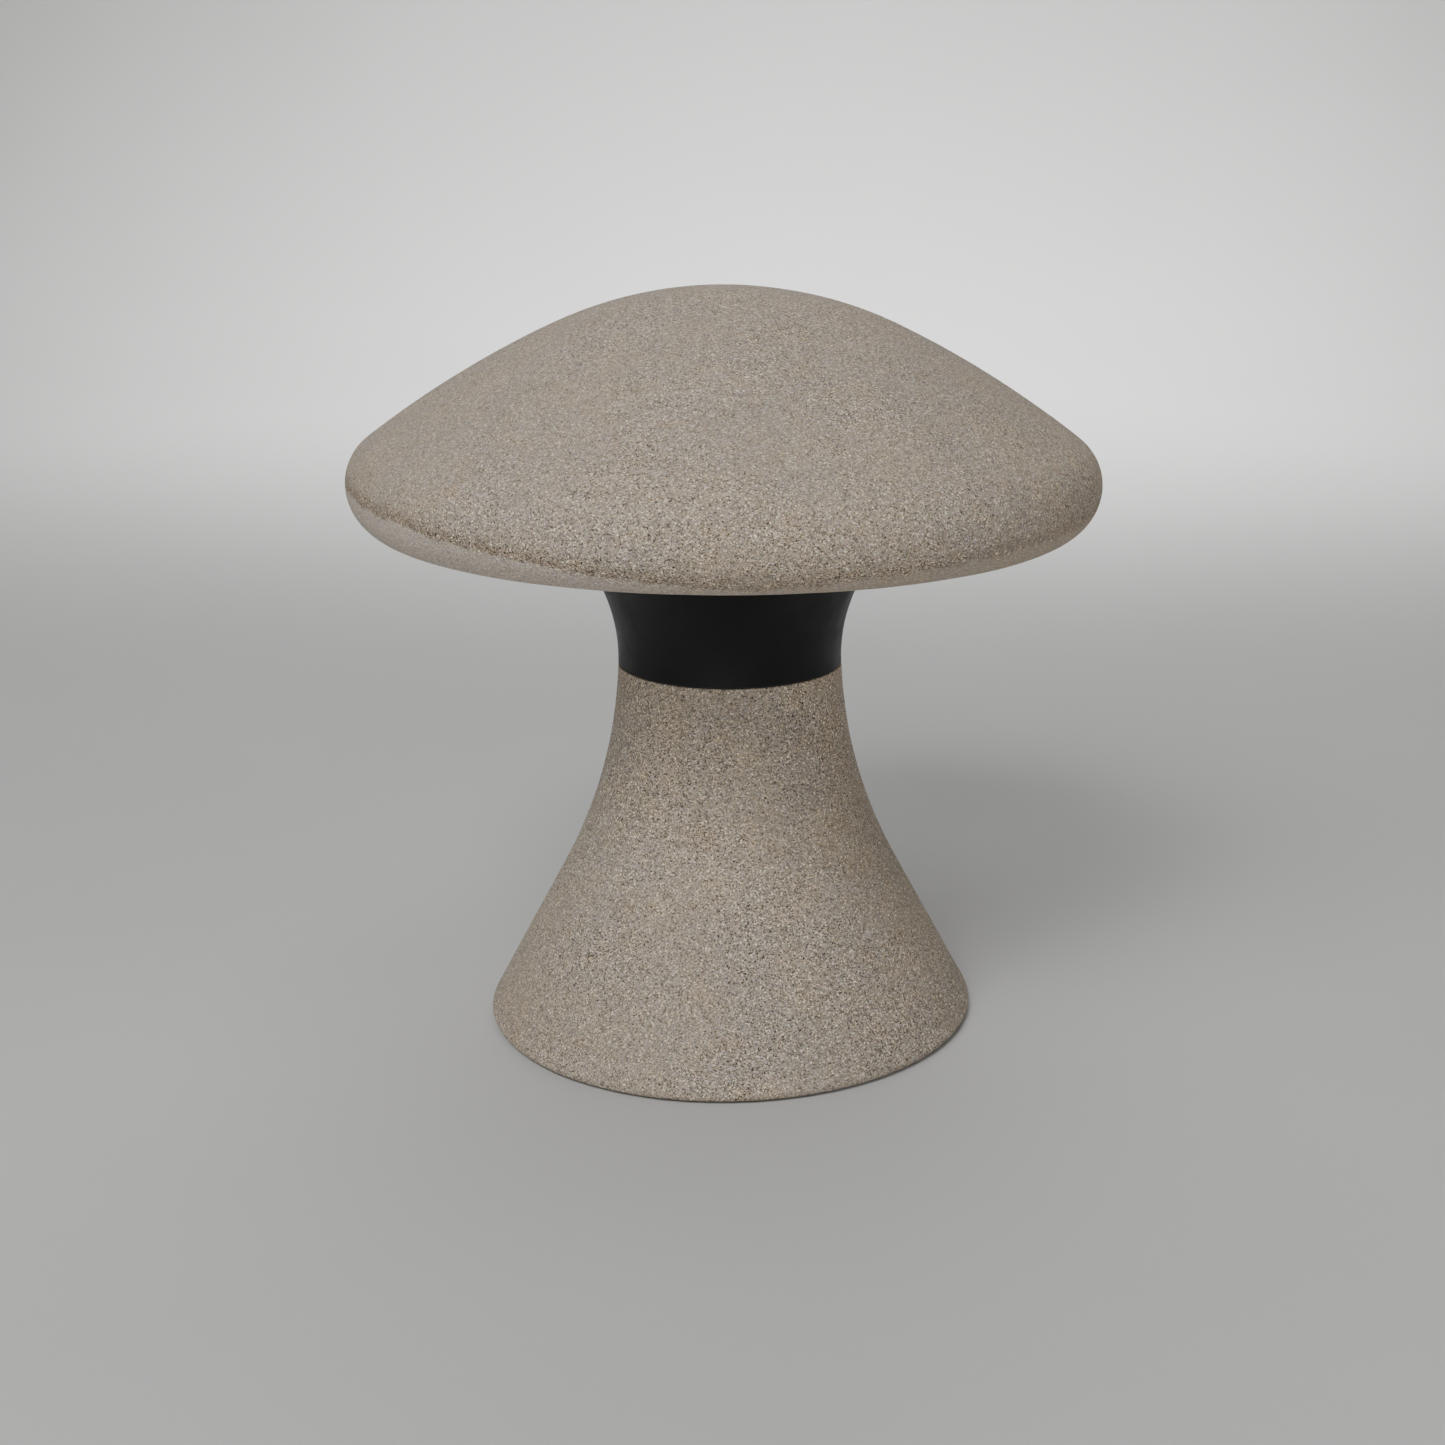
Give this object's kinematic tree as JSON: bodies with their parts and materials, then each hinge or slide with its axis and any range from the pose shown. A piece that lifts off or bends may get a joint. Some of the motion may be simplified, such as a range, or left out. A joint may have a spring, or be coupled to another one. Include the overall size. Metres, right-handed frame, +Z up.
{
  "type": "stone lantern",
  "caption": "Mushroom-shaped garden lantern: cast stone cap and flared cast stone base joined by a black metal collar, with a light ring facing down inside the cap's rim.",
  "frame": {"origin": "middle of the footprint, on the ground under the foot ring", "axes": "+Z up along the lantern's axis of revolution, -Y the front that the picture shows, +X to its right"},
  "size_m": [0.3579, 0.358, 0.362],
  "materials": {
    "cap_stone": "fine sandy speckle, rubbed smooth",
    "base_stone": "fine sandy speckle, rubbed smooth",
    "black_coating": "satin black powder coat",
    "cast_aluminium": "as cast, lightly blasted",
    "opal_acrylic": "opal, satin",
    "brass": "turned",
    "seal_rubber": "soft, matt",
    "foot_rubber": "firm, matt",
    "light_board": "white solder resist",
    "led_phosphor": "yellow phosphor, glossy",
    "white_nylon": "moulded, satin",
    "black_plastic": "moulded, satin",
    "zinc_plate": "zinc plated, dull",
    "driver_plastic": "moulded, fine texture",
    "circuit_board": "green solder resist",
    "component_plastic": "dark, glossy",
    "cable_sheath": "smooth, satin",
    "grey_plastic": "moulded, fine texture",
    "stainless": "bright, turned"
  },
  "bodies": {
    "root": {"base": "base_stone", "bezel": "black_coating", "bezel_screws": "stainless", "board_connector": "white_nylon", "board_grommet": "seal_rubber", "board_screws": "stainless", "box_lid": "grey_plastic", "box_screws": "stainless", "box_seal": "seal_rubber", "bracket_screw": "stainless", "cap": "cap_stone", "cap_inserts": "brass", "cap_seal": "seal_rubber", "clamp_pad": "seal_rubber", "clamp_plate": "zinc_plate", "collar": "black_coating", "collar_screws": "stainless", "collar_washers": "stainless", "diffuser": "opal_acrylic", "diffuser_seal_inner": "seal_rubber", "diffuser_seal_outer": "seal_rubber", "driver_board": "circuit_board", "driver_bracket": "zinc_plate", "driver_bushes": "black_plastic", "driver_case": "driver_plastic", "driver_components": "component_plastic", "driver_cover": "driver_plastic", "driver_screws": "stainless", "foot_ring": "foot_rubber", "gland_bodies": "black_plastic", "gland_locknuts": "black_plastic", "gland_nuts": "black_plastic", "gland_seals": "seal_rubber", "ground_plate": "zinc_plate", "hub_grommet": "seal_rubber", "hub_seal": "seal_rubber", "input_lead": "cable_sheath", "junction_box": "grey_plastic", "led_board": "light_board", "led_packages": "led_phosphor", "lid_screws": "stainless", "light_housing": "cast_aluminium", "neck_gasket": "seal_rubber", "output_lead": "cable_sheath", "skirt_bushes": "brass", "skirt_lugs": "zinc_plate", "skirt_screws": "stainless", "terminal_block": "white_nylon", "terminal_screws": "brass", "tie_nuts": "stainless", "tie_rods": "stainless", "tie_washers": "stainless", "vent_plug": "black_plastic"}
  },
  "joints": []
}
